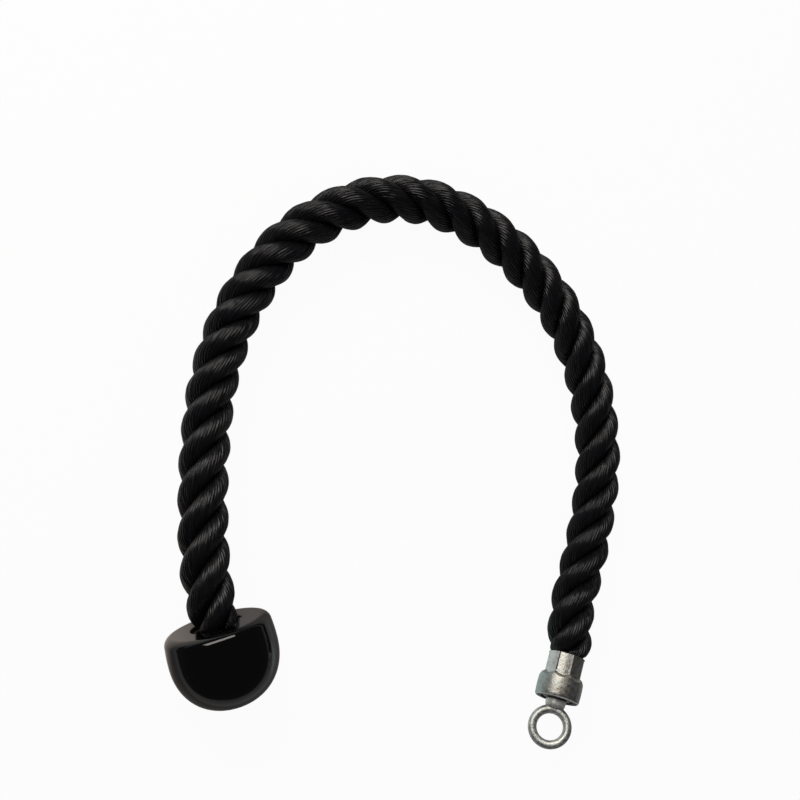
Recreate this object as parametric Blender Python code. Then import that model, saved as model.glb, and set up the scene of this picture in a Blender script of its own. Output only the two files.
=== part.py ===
"""A single-grip pull-down rope for a cable machine, lying on the floor.

Three laid strands make a thick rope. One end is held in a moulded end cap by a crimped anchor ring
and a collar behind three tabs. The other end is held in a crimped steel ferrule, whose cup carries a swivelling
eye: its shank runs through a disc behind the rolled lip, a thrust washer and a lock nut.
Lengths are in metres and +Z is up. The origin is on the floor, amid the cap and the eye.
"""

import math

import bmesh
import bpy
import numpy as np
from mathutils import Matrix, Vector

# Fits shared by all pieces
FIT = 0.0003  # between touching pieces
CUT_OVERRUN = 0.002  # cutters reach this far past what they cut
MERGE_WITHIN = 0.000001

# Rope
STRANDS = 3
ROPE_RADIUS = 0.0140
LAY_LENGTH = 0.0592  # along the rope, for one full turn of a strand
STRAND_GAP = 0.0007
FIRST_TURN = math.radians(31)  # of the first strand round the rope, at the cap's mouth
TIGHTER_LAY_TURN = math.radians(60)  # gained by the strands on the way up to the arch
TIGHTER_LAY_FROM = 0.075  # from the cap's mouth
TIGHTER_LAY_TO = 0.250
NECK_MARGIN = 0.0022  # the rope is at its narrowest this far before it enters a fitting
STRAND_SIDES = 10
STATIONS_PER_LAY = 11
CURVE_STEPS = 24  # between two points of the route

# The rope's middle line in plan, from the cap's mouth to the ferrule's mouth
ROUTE = [
    (-0.0983, 0.0383),
    (-0.1029, 0.0609),
    (-0.1043, 0.0820),
    (-0.1040, 0.1032),
    (-0.1005, 0.1464),
    (-0.0968, 0.1681),
    (-0.0908, 0.1894),
    (-0.0821, 0.2100),
    (-0.0701, 0.2292),
    (-0.0551, 0.2469),
    (-0.0362, 0.2610),
    (-0.0143, 0.2712),
    (0.0098, 0.2760),
    (0.0345, 0.2740),
    (0.0579, 0.2656),
    (0.0791, 0.2526),
    (0.0979, 0.2362),
    (0.1142, 0.2172),
    (0.1270, 0.1957),
    (0.1362, 0.1725),
    (0.1414, 0.1481),
    (0.1434, 0.1234),
    (0.1415, 0.0988),
    (0.1363, 0.0748),
    (0.1290, 0.0514),
    (0.1212, 0.0289),
    (0.1156, 0.0044),
]
CAP_HEADING = math.radians(14.7)  # the cap's axis in plan, from -Y towards +X
FERRULE_HEADING = math.radians(-23.1)
FERRULE_RISE = math.radians(12.5)  # the stiff end of the rope curls up off the floor
DESCENT_RUN = 0.140  # in which the rope comes down from the cap to the floor
RISE_RUN = 0.110

# End cap
CAP_RADIUS = 0.0300
CAP_DEPTH = 0.0460
CAP_RIM_FILLET = 0.0050
CAP_RIM_DRAFT = 0.0006  # how much narrower than its widest the cap is at its rim
CAP_WIDEST_AT = 0.0150  # behind the face
DOME_POWER = 2.2
MOUTH_CHAMFER = 0.0005
BORE_END_ROOM = 0.0020
CAP_SEGMENTS = 48

# Rope inside the cap
CAP_SQUEEZE = 0.0024  # off the rope's radius
CAP_NECK_RUN = 0.0160  # in which the rope narrows
COLLAR_RECESS = 0.0022
COLLAR_LENGTH = 0.0060
COLLAR_CHAMFER = 0.0008
RING_WALL = 0.0020
RING_LENGTH = 0.0180
ROPE_TAIL = 0.0030  # past the anchor ring
TAB_ANGLES = [math.radians(angle) for angle in (45, 165, 285)]
TAB_WIDTH = 0.0140  # at its root in the cap's wall
TAB_ROOT = 0.0010  # past the bore

# Ferrule
FERRULE_SQUEEZE = 0.0044  # off the rope's radius
FERRULE_NECK_RUN = 0.0060
BARREL_LENGTH = 0.0130
BARREL_WALL = 0.0013
CRIMPS = 8
CRIMP_TURN = math.radians(31)
CRIMP_DEPTH = 0.0005
SCALLOP_HEIGHT = 0.0016
SHOULDER_STEP = 0.0020  # the cup's radius over the barrel's
SHOULDER_RUN = 0.0021
CUP_WALL = 0.0013
CUP_BULGE = 0.0003
LIP = 0.0013
LIP_REACH = 0.0021  # inwards from the cup's wall
LIP_FILLET = 0.0014
SEAM_WIDTH = 0.0007
FERRULE_SEGMENTS = 48

# Swivelling eye
EYE_ROLL = math.radians(31)
SHANK_RADIUS = 0.0040
SHANK_TIP = 0.0010  # past the nut
SHANK_CHAMFER = 0.0006
NECK_RADIUS = 0.0062
NECK_WAIST = 0.0059
NECK_LENGTH = 0.0035  # from the lip to the ring's outside
RING_HOLE_RADIUS = 0.0078
RING_WIRE_RADIUS = 0.0025
DISC_THICKNESS = 0.0020
DISC_BOSS_HEIGHT = 0.0010
DISC_GROOVE = 0.0014  # open ring between the lip and the disc's boss
WASHER_THICKNESS = 0.0016
NUT_HEIGHT = 0.0050
ROPE_END_ROOM = 0.0023  # between the shank's tip and the rope's end
WASHER_RADIUS_SHARE = 2.0  # of the shank's radius
NUT_FLATS_SHARE = 1.625  # of the shank's radius, from the axis to a flat
EYE_SEGMENTS = 40
WIRE_SEGMENTS = 12
SHANK_SEGMENTS = 24

# Sizes that follow from the ones above
CAP_GRIP_RADIUS = ROPE_RADIUS - CAP_SQUEEZE
RING_INSIDE = CAP_GRIP_RADIUS + FIT
RING_OUTSIDE = RING_INSIDE + RING_WALL
CAP_BORE_RADIUS = RING_OUTSIDE + FIT
TAB_TIP_RADIUS = RING_INSIDE + FIT
COLLAR_END = COLLAR_RECESS + COLLAR_LENGTH
RING_START = COLLAR_END + FIT
RING_END = RING_START + RING_LENGTH
ROPE_IN_CAP = RING_END + ROPE_TAIL
CAP_BORE_DEPTH = ROPE_IN_CAP + BORE_END_ROOM

FERRULE_GRIP_RADIUS = ROPE_RADIUS - FERRULE_SQUEEZE
BARREL_INSIDE = FERRULE_GRIP_RADIUS + FIT
BARREL_RADIUS = BARREL_INSIDE + BARREL_WALL
CUP_RADIUS = BARREL_RADIUS + SHOULDER_STEP
CUP_INSIDE = CUP_RADIUS - CUP_WALL
LIP_INSIDE = CUP_INSIDE - LIP_REACH

# Places inside the ferrule, measured from its lip back towards the rope
DISC_FRONT = LIP + FIT
DISC_BACK = DISC_FRONT + DISC_THICKNESS
WASHER_FRONT = DISC_BACK + FIT
WASHER_BACK = WASHER_FRONT + WASHER_THICKNESS
NUT_FRONT = WASHER_BACK + FIT
NUT_BACK = NUT_FRONT + NUT_HEIGHT
SHANK_END = NUT_BACK + SHANK_TIP
ROPE_END = SHANK_END + ROPE_END_ROOM
FERRULE_LENGTH = ROPE_END + BARREL_LENGTH - FIT
ROPE_IN_FERRULE = FERRULE_LENGTH - ROPE_END

SHANK_BORE = SHANK_RADIUS + FIT
RING_CENTRE_RADIUS = RING_HOLE_RADIUS + RING_WIRE_RADIUS
RING_CENTRE_AT = NECK_LENGTH + RING_CENTRE_RADIUS + RING_WIRE_RADIUS


def clear_scene():
    for obj in list(bpy.data.objects):
        bpy.data.objects.remove(obj)


def finish(name, colour, roughness, metallic):
    """A plain material in the part's colour."""
    material = bpy.data.materials.new(name)
    material.use_nodes = True
    shader = material.node_tree.nodes["Principled BSDF"]
    shader.inputs["Base Color"].default_value = (*colour, 1)
    shader.inputs["Roughness"].default_value = roughness
    shader.inputs["Metallic"].default_value = metallic
    material.diffuse_color = (*colour, 1)
    return material


def object_from(name, shape, material=None, parent=None):
    """Turns a bmesh into a named object, shaded smooth except at its sharp edges."""
    bmesh.ops.recalc_face_normals(shape, faces=shape.faces)
    mesh = bpy.data.meshes.new(name)
    shape.to_mesh(mesh)
    shape.free()
    mesh.shade_smooth()
    mesh.set_sharp_from_angle(angle=math.radians(40))
    obj = bpy.data.objects.new(name, mesh)
    bpy.context.scene.collection.objects.link(obj)
    if material:
        mesh.materials.append(material)
    if parent:
        obj.parent = parent
    return obj


def seat(name, place, way, roll=0):
    """An empty at a fitting's place, with its Z axis along way and its X axis turned up, then rolled."""
    z_axis = Vector(way).normalized()
    up = Vector((0, 0, 1))
    x_axis = (up - up.dot(z_axis) * z_axis).normalized()
    y_axis = z_axis.cross(x_axis)
    turned_to = Matrix((x_axis, y_axis, z_axis)).transposed().to_4x4()
    empty = bpy.data.objects.new(name, None)
    bpy.context.scene.collection.objects.link(empty)
    empty.empty_display_size = CAP_RADIUS
    empty.matrix_world = Matrix.Translation(place) @ turned_to @ Matrix.Rotation(roll, 4, "Z")
    return empty


def combine(target, other, operation):
    """Cuts or joins another shape, which stays in the file as a wire guide."""
    other.hide_render = True
    other.display_type = "WIRE"
    modifier = target.modifiers.new(other.name, "BOOLEAN")
    modifier.operation = operation
    modifier.solver = "EXACT"
    modifier.object = other


def turned(profile, segments, closed=False):
    """Spins (radius, height) points round Z. A closed profile makes a ring, an open one ends on the axis."""
    shape = bmesh.new()
    points = [shape.verts.new((radius, 0, height)) for radius, height in profile]
    edges = [shape.edges.new(pair) for pair in zip(points, points[1:])]
    if closed:
        edges.append(shape.edges.new((points[-1], points[0])))
    bmesh.ops.spin(
        shape,
        geom=points + edges,
        cent=(0, 0, 0),
        axis=(0, 0, 1),
        angle=math.tau,
        steps=segments,
        use_merge=True,
    )
    bmesh.ops.remove_doubles(shape, verts=shape.verts, dist=MERGE_WITHIN)
    return shape


def arc(centre, radius, start, end, steps):
    """Points of a (radius, height) profile round a fillet, angles from the outward direction."""
    angles = [start + (end - start) * step / steps for step in range(steps + 1)]
    return [
        (centre[0] + radius * math.cos(angle), centre[1] + radius * math.sin(angle))
        for angle in angles
    ]


def tube(outside, inside, start, end):
    """The closed profile of a plain ring between two heights."""
    return [(outside, start), (outside, end), (inside, end), (inside, start)]


def heading_way(heading, rise=0.0):
    """The way of a fitting's axis, from its mouth to its far end."""
    level = math.cos(rise)
    return np.array(
        (math.sin(heading) * level, -math.cos(heading) * level, math.sin(rise))
    )


def ease(share):
    """A smooth step from 0 to 1."""
    share = np.clip(share, 0, 1)
    return share * share * (3 - 2 * share)


def route_points():
    """The route with its heights: down from the cap to the floor, and up again to the ferrule."""
    plan = np.array(ROUTE)
    walked = np.concatenate([[0], np.cumsum(np.linalg.norm(np.diff(plan, axis=0), axis=1))])
    left_to_go = walked[-1] - walked
    high = (CAP_RADIUS - ROPE_RADIUS) * (1 - ease(walked / DESCENT_RUN))
    curl = np.clip(1 - left_to_go / RISE_RUN, 0, 1)
    raised = RISE_RUN * math.tan(FERRULE_RISE) * curl**2 / 2
    return np.column_stack([plan, ROPE_RADIUS + high + raised])


def smooth_line(points, first_way, last_way):
    """Close points on the one smooth curve through the given points, leaving and arriving on the given ways."""
    spans = np.linalg.norm(np.diff(points, axis=0), axis=1)
    last = len(points) - 1
    weights = np.zeros((last + 1, last + 1))
    wanted = np.zeros((last + 1, 3))
    weights[0, 0] = weights[last, last] = 1
    wanted[0], wanted[last] = first_way, last_way
    for i in range(1, last):
        before, after = spans[i - 1], spans[i]
        weights[i, i - 1 : i + 2] = after, 2 * (before + after), before
        into, out_of = (points[i] - points[i - 1]) / before, (points[i + 1] - points[i]) / after
        wanted[i] = 3 * (after * into + before * out_of)
    slopes = np.linalg.solve(weights, wanted)
    line = []
    for i, span in enumerate(spans):
        for share in np.arange(CURVE_STEPS) / CURVE_STEPS:
            blend = ease(share)
            leaving = share * (1 - share) ** 2 * span
            arriving = share**2 * (share - 1) * span
            line.append(
                (1 - blend) * points[i]
                + blend * points[i + 1]
                + leaving * slopes[i]
                + arriving * slopes[i + 1]
            )
    return np.array(line + [points[last]])


def unit(rows):
    return rows / np.linalg.norm(rows, axis=-1, keepdims=True)


def rope_stations(line, first_way, last_way):
    """Stations from the rope's end in the cap to its end in the ferrule, evenly spaced between its necks.

    Gives the distance from the cap's mouth, the place, two directions across the rope and the bend of each."""
    start = line[0] - first_way * ROPE_IN_CAP
    end = line[-1] + last_way * ROPE_IN_FERRULE
    whole = np.vstack([start, line, end])
    walked = np.concatenate([[0], np.cumsum(np.linalg.norm(np.diff(whole, axis=0), axis=1))])
    walked -= ROPE_IN_CAP
    free_length = walked[-1] - ROPE_IN_FERRULE
    bounds = [walked[0], -COLLAR_RECESS, free_length - NECK_MARGIN, walked[-1]]
    distances = [walked[0]]
    for low, high in zip(bounds, bounds[1:]):
        count = math.ceil((high - low) / LAY_LENGTH * STATIONS_PER_LAY)
        distances.extend(np.linspace(low, high, count + 1)[1:])
    distances = np.array(distances)
    places = np.column_stack([np.interp(distances, walked, axis) for axis in whole.T])
    ways = unit(np.gradient(places, distances, axis=0))
    bends = np.linalg.norm(np.gradient(ways, distances, axis=0), axis=1)
    normals = [unit(np.cross(ways[0], (1.0, 0.0, 0.0)))]
    for way in ways[1:]:
        normals.append(unit(normals[-1] - np.dot(normals[-1], way) * way))
    normals = np.array(normals)
    return distances, places, normals, np.cross(ways, normals), bends


def rope_radius_at(distance, free_length):
    """The rope is full size along its free length, and squeezed in the cap and in the ferrule."""
    from_collar = (distance + COLLAR_RECESS - NECK_MARGIN) / CAP_NECK_RUN
    from_ferrule = (free_length - distance - NECK_MARGIN) / FERRULE_NECK_RUN
    cap_part = math.sqrt(min(max(from_collar, 0), 1))
    ferrule_part = math.sqrt(min(max(from_ferrule, 0), 1))
    return ROPE_RADIUS - CAP_SQUEEZE * (1 - cap_part) - FERRULE_SQUEEZE * (1 - ferrule_part)


def strand_turn(distance, number):
    """The turn of a strand round the rope, whose lay is a little tighter on the way up to the arch."""
    share = (distance - TIGHTER_LAY_FROM) / (TIGHTER_LAY_TO - TIGHTER_LAY_FROM)
    even = FIRST_TURN + math.tau * (distance / LAY_LENGTH + number / STRANDS)
    return even + TIGHTER_LAY_TURN * ease(share)


def strand_layout(rope_radius, bend):
    """How far from the rope's middle a strand runs, and how thick it is, when the strands nearly touch.

    Two neighbours come nearest where one has turned a little back on the other, and the lay is
    tightest on the inside of a bend."""
    offsets = np.linspace(rope_radius / 3, rope_radius, 241)[:, None]
    turns = np.linspace(-math.pi / 2, 0, 181)[None, :]
    climb = LAY_LENGTH * (1 - offsets * bend) / math.tau
    across = 2 * offsets**2 * (1 - np.cos(turns + math.tau / STRANDS))
    nearest = np.sqrt((across + (climb * turns) ** 2).min(axis=1))
    radii = (nearest - STRAND_GAP) / 2
    reach = offsets[:, 0] + radii
    offset = np.interp(rope_radius, reach, offsets[:, 0])
    return offset, rope_radius - offset


def strand_rings(number, stations, free_length):
    """Rings of points round one strand, square to its own winding line, and at its ends to the rope."""
    distances, places, normals, sides, bends = stations
    layout = [
        strand_layout(rope_radius_at(distance, free_length), bend)
        for distance, bend in zip(distances, bends)
    ]
    offsets, radii = np.array(layout).T
    turns = strand_turn(distances, number)
    outward = np.cos(turns)[:, None] * normals + np.sin(turns)[:, None] * sides
    centres = places + offsets[:, None] * outward
    ways = unit(np.gradient(centres, axis=0))
    out = unit(outward - np.sum(outward * ways, axis=1, keepdims=True) * ways)
    across = np.cross(ways, out)
    angles = math.tau * np.arange(STRAND_SIDES) / STRAND_SIDES
    around = (
        np.cos(angles)[None, :, None] * out[:, None, :]
        + np.sin(angles)[None, :, None] * across[:, None, :]
    )
    rings = centres[:, None, :] + radii[:, None, None] * around
    for end in (0, -1):
        rope_way = np.cross(normals[end], sides[end])
        past = (rings[end] - centres[end]) @ rope_way / (ways[end] @ rope_way)
        rings[end] -= past[:, None] * ways[end]
    return rings


def skinned(rings):
    """A skin over rings of points, with a flat face at each end."""
    shape = bmesh.new()
    loops = [[shape.verts.new(point) for point in ring] for ring in rings]
    for low, high in zip(loops, loops[1:]):
        for i in range(len(low)):
            j = (i + 1) % len(low)
            shape.faces.new((low[i], low[j], high[j], high[i]))
    shape.faces.new(loops[0][::-1])
    shape.faces.new(loops[-1])
    return shape


def build_rope(line, first_way, last_way, material):
    free_length = float(np.linalg.norm(np.diff(line, axis=0), axis=1).sum())
    stations = rope_stations(line, first_way, last_way)
    rings = [strand_rings(number, stations, free_length) for number in range(STRANDS)]
    for number, strand in enumerate(rings):
        object_from(f"rope_strand_{number + 1}", skinned(strand), material)
    print(f"free rope {free_length:.4f} m, least gap between strands {least_gap(rings):.5f} m")


def least_gap(rings):
    """The smallest distance between the points of one strand and the points of the next."""
    found = []
    for number, strand in enumerate(rings):
        other = rings[(number + 1) % STRANDS]
        for i in range(len(strand)):
            near = other[max(0, i - STATIONS_PER_LAY) : i + STATIONS_PER_LAY].reshape(-1, 1, 3)
            found.append(np.linalg.norm(near - strand[i][None], axis=2).min())
    return min(found)


def cap_profile():
    """Bore, flat face, rounded rim, slightly bulging side and dome, from pole to pole."""
    rim_radius = CAP_RADIUS - CAP_RIM_DRAFT
    profile = [(0, CAP_BORE_DEPTH), (CAP_BORE_RADIUS, CAP_BORE_DEPTH)]
    profile += [(CAP_BORE_RADIUS, MOUTH_CHAMFER), (CAP_BORE_RADIUS + MOUTH_CHAMFER, 0)]
    rim_centre = (rim_radius - CAP_RIM_FILLET, CAP_RIM_FILLET)
    profile += arc(rim_centre, CAP_RIM_FILLET, -math.pi / 2, 0, 4)
    halfway = (CAP_RIM_FILLET + CAP_WIDEST_AT) / 2
    profile += [(CAP_RADIUS - CAP_RIM_DRAFT / 4, halfway)]
    dome_depth = CAP_DEPTH - CAP_WIDEST_AT
    for step in range(11):
        angle = math.pi / 2 * step / 11
        sideways = math.cos(angle) ** (2 / DOME_POWER)
        down = math.sin(angle) ** (2 / DOME_POWER)
        profile.append((CAP_RADIUS * sideways, CAP_WIDEST_AT + dome_depth * down))
    return profile + [(0, CAP_DEPTH)]


def mouth_tabs(parent):
    """Three wedges that point from the bore's wall towards the rope, in front of the collar."""
    root = CAP_BORE_RADIUS + TAB_ROOT
    outline = [(TAB_TIP_RADIUS, 0), (root, TAB_WIDTH / 2), (root, -TAB_WIDTH / 2)]
    shape = bmesh.new()
    for angle in TAB_ANGLES:
        turn = Matrix.Rotation(angle, 4, "Z")
        front, back = [
            [shape.verts.new(turn @ Vector((x, y, height))) for x, y in outline]
            for height in (MOUTH_CHAMFER, COLLAR_RECESS - FIT)
        ]
        shape.faces.new(front)
        shape.faces.new(back)
        for i in range(len(outline)):
            shape.faces.new((front[i - 1], front[i], back[i], back[i - 1]))
    return object_from("mouth_tabs", shape, parent=parent)


def build_cap(at, moulded, rubber, steel):
    cap = object_from("end_cap", turned(cap_profile(), CAP_SEGMENTS), moulded, at)
    combine(cap, mouth_tabs(at), "UNION")

    collar = [
        (RING_OUTSIDE, COLLAR_RECESS),
        (RING_OUTSIDE, COLLAR_END),
        (RING_INSIDE, COLLAR_END),
        (RING_INSIDE, COLLAR_RECESS + COLLAR_CHAMFER),
        (RING_INSIDE + COLLAR_CHAMFER, COLLAR_RECESS),
    ]
    object_from("cap_collar", turned(collar, CAP_SEGMENTS, closed=True), rubber, at)

    ring_shape = tube(RING_OUTSIDE, RING_INSIDE, RING_START, RING_END)
    object_from("anchor_ring", turned(ring_shape, CAP_SEGMENTS, closed=True), steel, at)


def crimp_share(angle):
    """0 in the middle of a crimp's flat and 1 on the crease between two crimps."""
    turn = (angle - CRIMP_TURN) * CRIMPS / math.tau
    return 2 * abs(turn - round(turn))


def cup_radius_at(height):
    """The cup bulges a little between its shoulder and its lip."""
    share = (height - BARREL_LENGTH) / (FERRULE_LENGTH - BARREL_LENGTH)
    return CUP_RADIUS + CUP_BULGE * math.sin(math.pi * min(max(share, 0), 1))


def ferrule_radius_at(height, angle):
    """Pressed flats along the barrel, ending in scallops at the shoulder of the cup."""
    crease = crimp_share(angle)
    pressed = BARREL_RADIUS - CRIMP_DEPTH * (1 - crease**3)
    shoulder = BARREL_LENGTH - SCALLOP_HEIGHT * crease**2
    blend = float(ease((height - shoulder) / SHOULDER_RUN))
    return pressed + (cup_radius_at(height) - pressed) * blend


def ferrule_profile():
    """The barrel, the shoulder, the cup, its rolled lip and the two bores."""
    scallop_top = BARREL_LENGTH - SCALLOP_HEIGHT
    shoulder_end = BARREL_LENGTH + SHOULDER_RUN
    steps = 7
    heights = [0, scallop_top / 2]
    heights += [
        scallop_top + (shoulder_end - scallop_top) * step / steps for step in range(steps + 1)
    ]
    cup_end = FERRULE_LENGTH - LIP_FILLET
    heights += [(2 * shoulder_end + cup_end) / 3, (shoulder_end + 2 * cup_end) / 3]
    outer = [(CUP_RADIUS, height) for height in heights]
    lip_centre = (CUP_RADIUS - LIP_FILLET, cup_end)
    outer += arc(lip_centre, LIP_FILLET, 0, math.pi / 2, 3)
    inner = [
        (LIP_INSIDE, FERRULE_LENGTH),
        (LIP_INSIDE, FERRULE_LENGTH - LIP),
        (CUP_INSIDE, FERRULE_LENGTH - LIP),
        (CUP_INSIDE, shoulder_end + FIT),
        (BARREL_INSIDE, BARREL_LENGTH + FIT),
        (BARREL_INSIDE, 0),
    ]
    return outer + inner


def ferrule_shape():
    shape = turned(ferrule_profile(), FERRULE_SEGMENTS, closed=True)
    cup_end = FERRULE_LENGTH - LIP_FILLET
    for point in shape.verts:
        radius = math.hypot(point.co.x, point.co.y)
        if radius < CUP_INSIDE + MERGE_WITHIN or point.co.z > cup_end - MERGE_WITHIN:
            continue
        wanted = ferrule_radius_at(point.co.z, math.atan2(point.co.y, point.co.x))
        point.co.x *= wanted / radius
        point.co.y *= wanted / radius
    return shape


def build_ferrule(at, steel):
    ferrule = object_from("ferrule", ferrule_shape(), steel, at)
    seam = bmesh.new()
    depth = BARREL_WALL + 2 * CUT_OVERRUN
    length = BARREL_LENGTH - SCALLOP_HEIGHT + CUT_OVERRUN
    turn = Matrix.Rotation(CRIMP_TURN + math.pi / CRIMPS, 4, "Z")
    middle = Vector(((BARREL_INSIDE + BARREL_RADIUS) / 2, 0, length / 2 - CUT_OVERRUN))
    size = Matrix.Diagonal((depth, SEAM_WIDTH, length, 1))
    bmesh.ops.create_cube(seam, size=1, matrix=turn @ Matrix.Translation(middle) @ size)
    combine(ferrule, object_from("ferrule_seam", seam, parent=at), "DIFFERENCE")

    boss = LIP_INSIDE - DISC_GROOVE
    lip_at = FERRULE_LENGTH
    disc = [
        (CUP_INSIDE - FIT, lip_at - DISC_BACK),
        (CUP_INSIDE - FIT, lip_at - DISC_FRONT),
        (boss, lip_at - DISC_FRONT),
        (boss, lip_at - DISC_FRONT + DISC_BOSS_HEIGHT),
        (SHANK_BORE, lip_at - DISC_FRONT + DISC_BOSS_HEIGHT),
        (SHANK_BORE, lip_at - DISC_BACK),
    ]
    object_from("swivel_disc", turned(disc, FERRULE_SEGMENTS, closed=True), steel, at)


def shank_profile():
    """The shank inside the ferrule and the neck outside it, from pole to pole."""
    neck_foot = DISC_BOSS_HEIGHT - DISC_FRONT + FIT
    return [
        (0, -SHANK_END),
        (SHANK_RADIUS - SHANK_CHAMFER, -SHANK_END),
        (SHANK_RADIUS, SHANK_CHAMFER - SHANK_END),
        (SHANK_RADIUS, neck_foot),
        (NECK_RADIUS, neck_foot),
        (NECK_RADIUS, NECK_LENGTH / 4),
        (NECK_WAIST, NECK_LENGTH),
        (NECK_WAIST - RING_WIRE_RADIUS / 4, NECK_LENGTH + RING_WIRE_RADIUS / 2),
        (NECK_WAIST / 2, NECK_LENGTH + RING_WIRE_RADIUS * 3 / 4),
        (0, NECK_LENGTH + RING_WIRE_RADIUS),
    ]


def build_eye(at, steel):
    eye = object_from("eye", turned(shank_profile(), SHANK_SEGMENTS), steel, at)
    wire = arc((RING_CENTRE_RADIUS, 0), RING_WIRE_RADIUS, 0, math.tau, WIRE_SEGMENTS)[:-1]
    ring = turned(wire, EYE_SEGMENTS, closed=True)
    stand_up = Matrix.Translation((0, 0, RING_CENTRE_AT)) @ Matrix.Rotation(math.pi / 2, 4, "Y")
    bmesh.ops.transform(ring, matrix=stand_up, verts=ring.verts)
    combine(eye, object_from("eye_ring", ring, parent=at), "UNION")

    washer = tube(WASHER_RADIUS_SHARE * SHANK_RADIUS, SHANK_BORE, -WASHER_BACK, -WASHER_FRONT)
    object_from("thrust_washer", turned(washer, SHANK_SEGMENTS, closed=True), steel, at)

    corner = NUT_FLATS_SHARE * SHANK_RADIUS / math.cos(math.pi / 6)
    nut = bmesh.new()
    middle = Matrix.Translation((0, 0, -(NUT_FRONT + NUT_BACK) / 2))
    bmesh.ops.create_cone(
        nut, cap_ends=True, segments=6, radius1=corner, radius2=corner, depth=NUT_HEIGHT, matrix=middle
    )
    hole = turned(
        [(0, -NUT_BACK - CUT_OVERRUN), (SHANK_BORE, -NUT_BACK - CUT_OVERRUN)]
        + [(SHANK_BORE, CUT_OVERRUN - NUT_FRONT), (0, CUT_OVERRUN - NUT_FRONT)],
        SHANK_SEGMENTS,
    )
    lock_nut = object_from("lock_nut", nut, steel, at)
    combine(lock_nut, object_from("nut_hole", hole, parent=at), "DIFFERENCE")


def main():
    clear_scene()
    rope = finish("rope", (0.012, 0.012, 0.013), 0.6, 0)
    moulded = finish("cap", (0.010, 0.010, 0.010), 0.12, 0)
    rubber = finish("collar", (0.015, 0.015, 0.015), 0.5, 0)
    steel = finish("zinc_steel", (0.52, 0.50, 0.46), 0.38, 1)

    cap_way = heading_way(CAP_HEADING)
    ferrule_way = heading_way(FERRULE_HEADING, FERRULE_RISE)
    points = route_points()
    line = smooth_line(points, -cap_way, ferrule_way)
    build_rope(line, -cap_way, ferrule_way, rope)
    build_cap(seat("cap_seat", line[0], cap_way), moulded, rubber, steel)
    build_ferrule(seat("ferrule_seat", line[-1], ferrule_way), steel)
    lip = line[-1] + ferrule_way * FERRULE_LENGTH
    eye_seat = seat("eye_swivel", lip, ferrule_way, EYE_ROLL)
    build_eye(eye_seat, steel)
    bpy.context.view_layer.update()
    middle = eye_seat.matrix_world @ Vector((0, 0, RING_CENTRE_AT))
    print("lip", [round(x, 5) for x in lip], "axis", [round(x, 5) for x in ferrule_way])
    print("eye hole", [round(x, 5) for x in middle], "cap face", [round(x, 5) for x in line[0]])
    print("eye hole axis", [round(x, 4) for x in eye_seat.matrix_world.col[0][:3]])
    print("cap face out", [round(-x, 4) for x in cap_way])


main()
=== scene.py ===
"""The looks of a single-grip pull-down rope, lying on a pale table as in the photograph.

Blender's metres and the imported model's frame: +Z is up and the rope lies on the floor. The
rope's three strands, the end cap with its collar, the ferrule, its disc and the eye are
modelled here in full detail in place of their CAD nodes. The ring, the washer and the nut
hidden inside the fittings stay the CAD's own and only get their finish here.
"""

import math

import bpy
import numpy as np
from mathutils import Matrix, Vector


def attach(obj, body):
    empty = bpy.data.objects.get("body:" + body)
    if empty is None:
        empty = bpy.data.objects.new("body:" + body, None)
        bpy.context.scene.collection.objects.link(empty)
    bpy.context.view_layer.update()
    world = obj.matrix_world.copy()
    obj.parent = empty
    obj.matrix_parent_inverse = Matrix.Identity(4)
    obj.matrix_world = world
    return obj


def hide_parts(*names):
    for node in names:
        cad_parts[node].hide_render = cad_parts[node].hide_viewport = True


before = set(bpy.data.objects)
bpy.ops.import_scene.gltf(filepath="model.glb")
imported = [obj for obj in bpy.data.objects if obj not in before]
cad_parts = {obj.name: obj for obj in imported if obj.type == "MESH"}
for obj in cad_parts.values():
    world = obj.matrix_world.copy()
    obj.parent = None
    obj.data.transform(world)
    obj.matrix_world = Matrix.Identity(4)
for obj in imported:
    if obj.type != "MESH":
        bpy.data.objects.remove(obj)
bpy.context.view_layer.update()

# Rope, with the route of part.py
STRANDS = 3
ROPE_RADIUS = 0.0140
LAY_LENGTH = 0.0592
FIRST_TURN = math.radians(31)
TIGHTER_LAY_TURN = math.radians(60)
TIGHTER_LAY_FROM = 0.075
TIGHTER_LAY_TO = 0.250
ROUTE = [
    (-0.0983, 0.0383),
    (-0.1029, 0.0609),
    (-0.1043, 0.0820),
    (-0.1040, 0.1032),
    (-0.1005, 0.1464),
    (-0.0968, 0.1681),
    (-0.0908, 0.1894),
    (-0.0821, 0.2100),
    (-0.0701, 0.2292),
    (-0.0551, 0.2469),
    (-0.0362, 0.2610),
    (-0.0143, 0.2712),
    (0.0098, 0.2760),
    (0.0345, 0.2740),
    (0.0579, 0.2656),
    (0.0791, 0.2526),
    (0.0979, 0.2362),
    (0.1142, 0.2172),
    (0.1270, 0.1957),
    (0.1362, 0.1725),
    (0.1414, 0.1481),
    (0.1434, 0.1234),
    (0.1415, 0.0988),
    (0.1363, 0.0748),
    (0.1290, 0.0514),
    (0.1212, 0.0289),
    (0.1156, 0.0044),
]
ROUTE_STEPS = 24
CAP_HEADING = math.radians(14.7)
FERRULE_HEADING = math.radians(-23.1)
FERRULE_RISE = math.radians(12.5)
DESCENT_RUN = 0.140
RISE_RUN = 0.110
CAP_SQUEEZE = 0.0024
CAP_NECK_RUN = 0.0160
CAP_NECK_POWER = 0.5
FERRULE_SQUEEZE = 0.0044
FERRULE_NECK_RUN = 0.0100
FERRULE_NECK_POWER = 0.35
NECK_MARGIN = 0.0004
COLLAR_RECESS = 0.0022
ROPE_IN_CAP = 0.0295
ROPE_IN_FERRULE = 0.0127

# Strands, how far they press together, and how finely strand_layout() looks for their place
STRANDS_PRESS = 0.0010
OFFSETS_TRIED = 121
TURNS_TRIED = 91
STATION_STEP = 0.00105

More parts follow.
